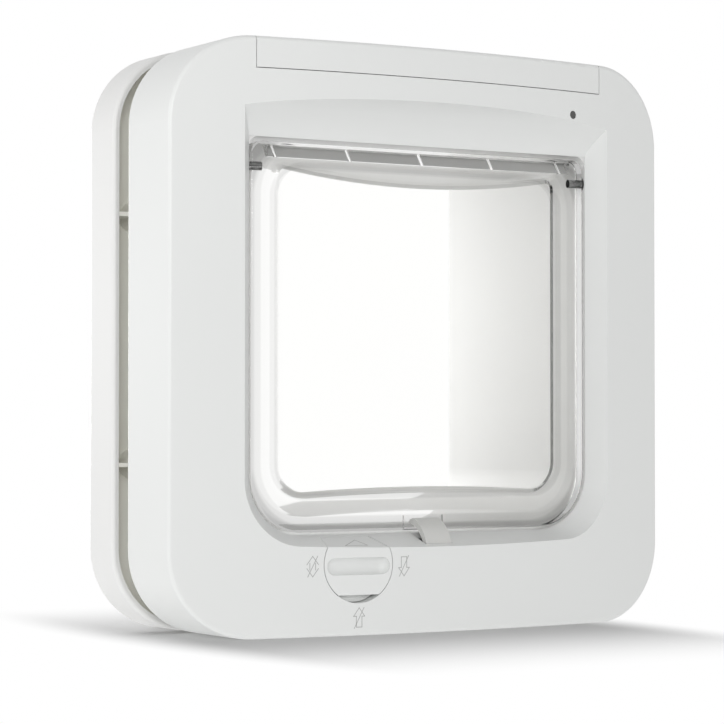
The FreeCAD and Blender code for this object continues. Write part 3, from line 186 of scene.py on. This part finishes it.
shellWhite = mouldedMaterial("shellWhite", (0.79, 0.80, 0.79), 0.34, drift=0.02, grain=0.12, wave=0.015)
ductWhite = mouldedMaterial("ductWhite", (0.80, 0.80, 0.79), 0.36, drift=0.02, grain=0.12, wave=0.015)
lockWhite = mouldedMaterial("lockWhite", (0.80, 0.81, 0.80), 0.42, drift=0.015, grain=0.2)
latchGrey = mouldedMaterial("latchGrey", (0.66, 0.66, 0.64), 0.36, drift=0.05, grain=0.15)
trayGrey = mouldedMaterial("trayGrey", (0.10, 0.10, 0.105), 0.5, drift=0.06, grain=0.5)
bushDark = mouldedMaterial("bushDark", (0.045, 0.045, 0.045), 0.45, drift=0.06, grain=0.2)
lensDark = mouldedMaterial("lensDark", (0.035, 0.035, 0.033), 0.12, drift=0.02, grain=0.02, Coat_Weight=0.6)
buttonRed = mouldedMaterial("buttonRed", (0.55, 0.06, 0.04), 0.4, drift=0.04)
capWhite = mouldedMaterial("capWhite", (0.78, 0.78, 0.77), 0.45, drift=0.02)
zincSteel = mouldedMaterial("zincSteel", (0.58, 0.58, 0.60), 0.28, drift=0.1, grain=0.4, Metallic=1.0)
pinSteel = mouldedMaterial("pinSteel", (0.90, 0.90, 0.90), 0.38, drift=0.04, grain=0.2, Metallic=1.0)
nickelPlate = mouldedMaterial("nickelPlate", (0.66, 0.62, 0.56), 0.25, drift=0.08, grain=0.3, Metallic=1.0)
markGrey = mouldedMaterial("markGrey", (0.46, 0.46, 0.455), 0.5, drift=0.05)
# painted shade: grey of the strip that stands in for the shaded tunnel roof behind the flap's beam
shadeStripGrey = mouldedMaterial("shadeStripGrey", (0.45, 0.45, 0.44), 0.8, drift=0.2, grain=0.6, grainScale=1100.0)


def makeZoneGroup(name, zone):
    # distance from the edge of a zone with rounded corners, positive outside it
    group = bpy.data.node_groups.new(name, "ShaderNodeTree")
    group.interface.new_socket(name="Distance", in_out="OUTPUT", socket_type="NodeSocketFloat")
    outside = newNode(group, "NodeGroupOutput", (900, 0))
    axes = objectAxes(group, (-900, 0))
    corner = zone["corner"]
    fromSide = mathNode(group, "ABSOLUTE", axes["X"], place=(-700, 200))
    raised = mathNode(group, "SUBTRACT", axes["Z"], zone["middle"] * mm, (-700, 0))
    fromTop = mathNode(group, "ABSOLUTE", raised, place=(-520, 0))
    across = mathNode(group, "SUBTRACT", fromSide, (zone["half"] - corner) * mm, (-340, 200))
    up = mathNode(group, "SUBTRACT", fromTop, (zone["halfHeight"] - corner) * mm, (-340, 0))
    cornerX = mathNode(group, "MAXIMUM", across, 0.0, (-160, 260))
    cornerZ = mathNode(group, "MAXIMUM", up, 0.0, (-160, 60))
    squares = mathNode(group, "ADD", mathNode(group, "POWER", cornerX, 2.0, (20, 260)),
                       mathNode(group, "POWER", cornerZ, 2.0, (20, 60)), (200, 160))
    reach = mathNode(group, "SQRT", squares, place=(380, 160))
    inner = mathNode(group, "MINIMUM", mathNode(group, "MAXIMUM", across, up, (20, -120)), 0.0, (200, -60))
    both = mathNode(group, "ADD", reach, inner, (540, 60))
    distance = mathNode(group, "SUBTRACT", both, corner * mm, (700, 60))
    group.links.new(distance, outside.inputs["Distance"])
    return group


def zoneDistance(tree, name, zone, place):
    return newNode(tree, "ShaderNodeGroup", place, node_tree=makeZoneGroup(name, zone)).outputs["Distance"]


# Window of the flap: half its width, its middle and half its height, and its corner
window = dict(half=59.3, middle=107.8, halfHeight=57.4, corner=10.0)
# Painted shade on the flap from the window's edge outwards, for its bent rim edges and the gap at its side:
# distance and grey
rimShadeTones = [(-0.6, 1.0), (0.3, 1.0), (0.7, 0.80), (2.4, 0.82), (3.0, 0.98), (8.2, 0.95), (9.0, 0.78), (11.3, 0.73),
            (11.8, 0.6), (12.3, 0.5)]
rimTint = (1.0, 1.0, 0.99)


def clearMaterial():
    # clear moulding: the rim carries bands of painted shade, which stand in for how its bent edges look from the
    # front
    material, tree, principled = newMaterial("flapClear", IOR=1.3, Transmission_Weight=1.0)
    first, last = rimShadeTones[0][0], rimShadeTones[-1][0]
    spread = setInputs(newNode(tree, "ShaderNodeMapRange", (-700, 200)), From_Min=first * mm, From_Max=last * mm)
    tree.links.new(zoneDistance(tree, "windowZone", window, (-900, 100)), spread.inputs["Value"])
    ramp = newNode(tree, "ShaderNodeValToRGB", (-520, 200))
    stops = ramp.color_ramp.elements
    while len(stops) < len(rimShadeTones):
        stops.new(0.5)
    for stop, (distance, tone) in zip(stops, rimShadeTones):
        stop.position = (distance - first) / (last - first)
        stop.color = (*(tone * part for part in rimTint), 1)
    tree.links.new(spread.outputs[0], ramp.inputs["Fac"])
    surface = mouldedNode(tree, principled, (-300, -100), Drift=0.01, Roughness=0.015, Grain_Scale=300.0,
                          Grain_Depth=0.01, Wave_Depth=0.05)
    # the painted shade bands of the rim go into the moulding's colour
    tree.links.new(ramp.outputs["Color"], surface.inputs["Color"])
    return material


# Inside of the exterior frame: where it starts and ends in depth, its outline, how far past it, and the paler,
# warmer colour painted there as light
hollow = dict(face=1.6, floor=18.3, half=102.5, middle=105.0, halfHeight=102.5, corner=27.5, spare=0.6,
              colour=(0.98, 0.97, 0.90))


def hollowPaintedLightMaterial(name, outer, roughness):
    # moulded white with painted light inside the frame: it is paler and warmer there, and stands in for light that
    # passes its thin walls
    material = mouldedMaterial(name, outer, roughness, drift=0.02, grain=0.12, wave=0.015)
    tree = material.node_tree
    surface = next(node for node in tree.nodes if node.type == "GROUP")
    distance = zoneDistance(tree, "hollowZone", hollow, (-1100, 300))
    depth = objectAxes(tree, (-1300, 0))["Y"]
    behind = mathNode(tree, "GREATER_THAN", depth, hollow["face"] * mm, (-1100, 120))
    before = mathNode(tree, "LESS_THAN", depth, hollow["floor"] * mm, (-1100, -60))
    within = mathNode(tree, "LESS_THAN", distance, hollow["spare"] * mm, (-900, 300))
    deep = mathNode(tree, "MULTIPLY", behind, before, (-900, 60))
    inside = mathNode(tree, "MULTIPLY", deep, within, (-720, 200))
    # painted light: inside the frame the colour turns paler and warmer
    tree.links.new(colourMix(tree, outer, hollow["colour"], inside, (-540, 100)), surface.inputs["Color"])
    return material


# Wrap of the battery cells: its two colours and the width over which one turns into the other
wrap = dict(dark=(0.03, 0.032, 0.036), gold=(0.52, 0.30, 0.13), blend=0.4)


def cellMaterial(name, edge, goldOnRight):
    # one colour up to an edge along X and the other after it
    material, tree, principled = newMaterial(name, Roughness=0.3, Metallic=0.4)
    spread = newNode(tree, "ShaderNodeMapRange", (-500, 0))
    setInputs(spread, From_Min=edge * mm, From_Max=(edge + wrap["blend"]) * mm)
    tree.links.new(objectAxes(tree, (-700, 0))["X"], spread.inputs["Value"])
    low, high = (wrap["dark"], wrap["gold"]) if goldOnRight else (wrap["gold"], wrap["dark"])
    tree.links.new(colourMix(tree, low, high, spread.outputs[0], (-300, 0)), principled.inputs["Base Color"])
    return material


def windingMaterial():
    # enamelled wire: fine turns across the coil's width
    material, tree, principled = newMaterial("coilWire", Roughness=0.35, Metallic=0.7)
    turns = newNode(tree, "ShaderNodeTexWave", (-650, 0), wave_type="BANDS", bands_direction="Y")
    setInputs(turns, Scale=500.0, Distortion=0.6, Detail=1.0)
    ramp = newNode(tree, "ShaderNodeValToRGB", (-430, 0))
    ramp.color_ramp.elements[0].color = (0.14, 0.045, 0.015, 1)
    ramp.color_ramp.elements[1].color = (0.55, 0.22, 0.09, 1)
    bump = setInputs(newNode(tree, "ShaderNodeBump", (-430, -250)), Strength=0.6, Distance=0.0002)
    tree.links.new(objectCoords(tree, (-900, 0)), turns.inputs["Vector"])
    tree.links.new(turns.outputs["Fac"], ramp.inputs["Fac"])
    tree.links.new(turns.outputs["Fac"], bump.inputs["Height"])
    tree.links.new(ramp.outputs["Color"], principled.inputs["Base Color"])
    tree.links.new(bump.outputs["Normal"], principled.inputs["Normal"])
    return material


def boardMaterial():
    # solder mask with tracks
    material, tree, principled = newMaterial("boardGreen", Roughness=0.35)
    tracks = newNode(tree, "ShaderNodeTexBrick", (-650, 0))
    setInputs(tracks, Scale=160.0, Mortar_Size=0.03, Color1=(0.012, 0.09, 0.03, 1), Color2=(0.016, 0.12, 0.04, 1),
              Mortar=(0.06, 0.25, 0.09, 1))
    turn = setInputs(newNode(tree, "ShaderNodeMapping", (-800, -200)), Rotation=(math.pi / 2, 0, 0))
    tree.links.new(objectCoords(tree, (-900, 0)), turn.inputs["Vector"])
    tree.links.new(turn.outputs[0], tracks.inputs["Vector"])
    tree.links.new(tracks.outputs["Color"], principled.inputs["Base Color"])
    return material


flapClear = clearMaterial()
frameWhite = hollowPaintedLightMaterial("frameWhite", (0.80, 0.80, 0.79), 0.36)
coilWire = windingMaterial()
boardGreen = boardMaterial()

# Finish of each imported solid
finishes = {
    "front_housing": shellWhite, "rear_housing": shellWhite, "battery_cover": shellWhite, "tunnel": ductWhite,
    "exterior_frame": frameWhite, "flap": flapClear, "hinge_pin_left": pinSteel, "hinge_pin_right": pinSteel,
    "hinge_bush_left": bushDark, "hinge_bush_right": bushDark, "battery_tray": trayGrey,
    "battery_contacts": nickelPlate, "lock_knob": lockWhite, "lock_cam": latchGrey, "inner_latch": latchGrey,
    "latch_pinion": latchGrey, "latch_guide": trayGrey, "latch_motor": zincSteel, "latch_spring": zincSteel,
    "outer_latch": latchGrey, "circuit_board": boardGreen, "led_lens": lensDark, "memory_button": buttonRed,
    "antenna_coil": coilWire, "frame_screws": zincSteel, "housing_screws": zincSteel, "screw_caps": capWhite,
}
# Cells: where the wrap changes colour, and whether the gold end is on the right
cellEnds = {"battery_cell_1": (-16, True), "battery_cell_2": (35, True), "battery_cell_3": (-35, False),
            "battery_cell_4": (15, False)}
for name, (edge, goldOnRight) in cellEnds.items():
    finishes[name] = cellMaterial(name + "Wrap", edge, goldOnRight)
for name, material in finishes.items():
    nodes[name].data.materials.clear()
    nodes[name].data.materials.append(material)
print("finishes set")


def newObject(name, mesh, material):
    # an object of a finished mesh, in its place
    data = bpy.data.meshes.new(name)
    mesh.to_mesh(data)
    mesh.free()
    data.materials.append(material)
    thing = bpy.data.objects.new(name, data)
    bpy.context.scene.collection.objects.link(thing)
    return thing


def newPiece(name, mesh, material, body):
    # a grey piece of the scene's own, on one body
    piece = newObject(name, mesh, material)
    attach(piece, body)


def addBlock(mesh, size, place):
    # a block of the mesh, turned and set in place
    corners = bmesh.ops.create_cube(mesh, size=1.0)["verts"]
    scale = Matrix.Diagonal((*(side * mm for side in size), 1))
    bmesh.ops.transform(mesh, matrix=place @ scale, verts=corners)


def shiftBy(x, y, z):
    return Matrix.Translation(Vector((x, y, z)) * mm)


# Marks round the lock: thin strokes set into the crowned face, which is part of a cylinder
crown = dict(faceEdge=-42.05, rise=11.7, halfWidth=105.0)
marks = dict(stroke=0.26, deep=0.2, proud=0.03)


def facePlace(x, z):
    # a point on the crowned face and the turn about Z of the surface there
    radius = (crown["halfWidth"] ** 2 + crown["rise"] ** 2) / (2 * crown["rise"])
    y = crown["faceEdge"] - crown["rise"] + radius - math.sqrt(radius ** 2 - x ** 2)
    return shiftBy(x, y, z) @ Matrix.Rotation(math.asin(x / radius), 4, "Z")


def makeMark(name, place, lines, body="unit"):
    # each line is a chain of points, with one straight stroke between each two
    mesh = bmesh.new()
    for line in lines:
        for start, end in zip(line, line[1:]):
            along = Vector(end) - Vector(start)
            middle = (Vector(start) + Vector(end)) / 2
            turn = Matrix.Rotation(-math.atan2(along.y, along.x), 4, "Y")
            shift = shiftBy(middle.x, marks["deep"] / 2 - marks["proud"], middle.y)
            size = (along.length + marks["stroke"], marks["deep"], marks["stroke"])
            addBlock(mesh, size, place @ shift @ turn)
    newPiece(name, mesh, markGrey, body)


# Outline arrows, each crossed by a bar: both ways, out and in, about each mark's middle
upHead = [(-2.2, 0.7), (0, 3.6), (2.2, 0.7)]
downHead = [(-2.2, -0.7), (0, -3.6), (2.2, -0.7)]
bar = [(-1.9, -3.6), (1.9, 3.6)]
shaftLeft, shaftRight = [(-1.1, -1.2), (-1.1, 1.2)], [(1.1, -1.2), (1.1, 1.2)]
upArrow = [(0, 3.6), (2.2, 0.6), (1.1, 0.6), (1.1, -3.2), (-1.1, -3.2), (-1.1, 0.6), (-2.2, 0.6), (0, 3.6)]
downArrow = [(x, -z) for x, z in upArrow]
makeMark("mark_both_barred", facePlace(-52.8, 24.8), [upHead, downHead, shaftLeft, shaftRight, bar])
makeMark("mark_out_barred", facePlace(-16.7, 24.2), [downArrow, bar])
makeMark("mark_in_barred", facePlace(-34.8, 6.3), [upArrow, bar])

# Pointer of the lock: a triangle in outline on the slope over its groove
slope = dict(x=-34.9, y=-48.2, z=32.56, lean=0.336)
triangle = [(-4.5, -2.6), (4.7, -2.6), (2.4, 2.7), (-4.5, -2.6)]
slopePlace = shiftBy(slope["x"], slope["y"], slope["z"]) @ Matrix.Rotation(-math.atan(1 / slope["lean"]), 4, "X")
makeMark("mark_pointer", slopePlace, [triangle], "lock")
print("marks made")

# Grey strip of painted shade on the leaning back of the groove in the flap's beam, for the shaded tunnel roof seen
# through it: its place, its size, the ribs that part it and how far it stays off the ribs and the beam
strip = dict(low=168.9, back=-39.1, lean=0.732, rise=3.9, thick=0.25, half=65.3, pitch=30.7, rib=1.1, ribs=5,
             spare=0.1, clear=0.02)


def makeShadeStrip():
    mesh = bmesh.new()
    middle = strip["rise"] / 2
    wall = shiftBy(0, strip["back"] + strip["lean"] * middle, strip["low"] + middle)
    wall = wall @ Matrix.Rotation(-math.atan(strip["lean"]), 4, "X")
    height = strip["rise"] * math.hypot(1, strip["lean"]) - 2 * strip["spare"]
    edges = [-strip["half"]]
    for rib in range(strip["ribs"]):
        ribMiddle = (rib - strip["ribs"] // 2) * strip["pitch"]
        edges += [ribMiddle - strip["rib"] / 2, ribMiddle + strip["rib"] / 2]
    edges.append(strip["half"])
    for start, end in zip(edges[::2], edges[1::2]):
        shift = shiftBy((start + end) / 2, -strip["thick"] / 2 - strip["clear"], 0)
        addBlock(mesh, (end - start - 2 * strip["spare"], strip["thick"], height), wall @ shift)
    newPiece("groove_shade_strip", mesh, shadeStripGrey, "swinging_flap")


makeShadeStrip()
print("strip made")

# Studio: a floor with a painted shadow, a white surround and soft lamps. The painted shadow is a grey patch about
# a line under the front of the object, which has a middle, half a length and a reach each way; the lamps' real
# shadow falls on it too.
studio = dict(worldStrength=0.5, floorSize=8.0, shadowPaperGrey=0.56, floorGlow=0.5, shadowMiddle=(-0.015, -0.03, 0),
              shadowHalf=(0.075, 0, 0), shadowReach=(0.035, 0.165, 1))
white = (1, 1, 1, 1)


def litRays(tree):
    # 1 for rays that the camera, a gloss or a clear piece sends, 0 for light itself
    path = newNode(tree, "ShaderNodeLightPath", (-900, 300)).outputs
    seen = mathNode(tree, "MAXIMUM", path["Is Camera Ray"], path["Is Glossy Ray"], (-700, 300))
    return mathNode(tree, "MAXIMUM", seen, path["Is Transmission Ray"], (-520, 300))


def mixShaders(tree, factor, first, second, place):
    mix = newNode(tree, "ShaderNodeMixShader", place)
    for index, socket in enumerate((factor, first.outputs[0], second.outputs[0])):
        tree.links.new(socket, mix.inputs[index])
    return mix.outputs[0]


def makeWorld():
    world = bpy.data.worlds.new("studioWhite")
    tree = emptyTree(world)
    light = setInputs(newNode(tree, "ShaderNodeBackground"), Color=white, Strength=studio["worldStrength"])
    seen = setInputs(newNode(tree, "ShaderNodeBackground"), Color=white, Strength=1.0)
    output = newNode(tree, "ShaderNodeOutputWorld", (400, 0))
    tree.links.new(mixShaders(tree, litRays(tree), light, seen, (200, 0)), output.inputs["Surface"])
    bpy.context.scene.world = world


def shadowEnd(tree):
    # from 0 at the painted shadow's line to 1 where its reach ends
    about = vectorNode(tree, "SUBTRACT", objectCoords(tree, (-1300, -200)), studio["shadowMiddle"], (-1200, -200))
    aside = vectorNode(tree, "ABSOLUTE", about, place=(-1050, -200))
    past = vectorNode(tree, "SUBTRACT", aside, studio["shadowHalf"], (-900, -200))
    beyond = vectorNode(tree, "MAXIMUM", past, (0, 0, 0), (-750, -200))
    share = vectorNode(tree, "DIVIDE", beyond, studio["shadowReach"], (-600, -200))
    reach = newNode(tree, "ShaderNodeMapRange", (-300, -200), interpolation_type="SMOOTHSTEP")
    tree.links.new(vectorNode(tree, "LENGTH", share, place=(-450, -200)), reach.inputs["Value"])
    return reach.outputs[0]


def makeFloor():
    # painted shadow: near the object the floor is grey paper that also takes the lamps' real shadow, and further
    # off it is seen as white as the background
    grey = studio["shadowPaperGrey"]
    material = bpy.data.materials.new("floorWhite")
    tree = emptyTree(material)
    paper = newNode(tree, "ShaderNodeBsdfPrincipled", (-100, 200))
    setInputs(paper, Base_Color=(grey, grey, grey, 1), Roughness=1.0, IOR=1.0, Emission_Color=white)
    glow = setInputs(newNode(tree, "ShaderNodeEmission", (-100, -200)), Color=white, Strength=1.0)
    output = newNode(tree, "ShaderNodeOutputMaterial", (500, 0))
    lit = litRays(tree)
    far = mathNode(tree, "MULTIPLY", shadowEnd(tree), lit, (100, 0))
    unseen = mathNode(tree, "SUBTRACT", 1.0, lit, (-500, 100))
    bounce = mathNode(tree, "MULTIPLY", unseen, studio["floorGlow"], (-300, 100))
    tree.links.new(bounce, paper.inputs["Emission Strength"])
    tree.links.new(mixShaders(tree, far, paper, glow, (300, 0)), output.inputs["Surface"])
    mesh = bmesh.new()
    bmesh.ops.create_grid(mesh, x_segments=1, y_segments=1, size=studio["floorSize"] / 2)
    newObject("floor", mesh, material)


lamps = [
    dict(name="lampLeft", place=(-1.8, 0.3, 0.4), size=1.0, power=6.0),
    dict(name="lampFront", place=(-0.75, -1.15, 0.35), size=0.35, power=5.0),
    dict(name="lampBack", place=(-0.07, 0.6, 0.15), size=0.25, power=1.8),
]
lampAim = Vector((0, 0, 0.1))


def makeLamp(name, place, size, power):
    data = bpy.data.lights.new(name, "AREA")
    data.shape = "DISK"
    data.size = size
    data.energy = power
    lamp = bpy.data.objects.new(name, data)
    lamp.location = place
    lamp.visible_camera = False
    lamp.visible_transmission = False
    lamp.rotation_euler = (lampAim - Vector(place)).to_track_quat("-Z", "Y").to_euler()
    bpy.context.scene.collection.objects.link(lamp)


makeWorld()
makeFloor()
for lamp in lamps:
    makeLamp(**lamp)
print("studio lit")

# Camera, fitted to the photograph
view = dict(place=(-518.88, -847.13, 75.65), yaw=31.41, pitch=1.287, lens=131.0, sensor=36.0, near=50.0)
camera = bpy.data.cameras.new("camera")
camera.lens = view["lens"]
camera.sensor_width = view["sensor"]
camera.clip_start = view["near"] * mm
cameraObject = bpy.data.objects.new("camera", camera)
cameraObject.location = Vector(view["place"]) * mm
cameraObject.rotation_euler = (math.radians(90 + view["pitch"]), 0, -math.radians(view["yaw"]))
bpy.context.scene.collection.objects.link(cameraObject)
bpy.context.scene.camera = cameraObject
bpy.context.scene.view_settings.view_transform = "Standard"
print("camera set")
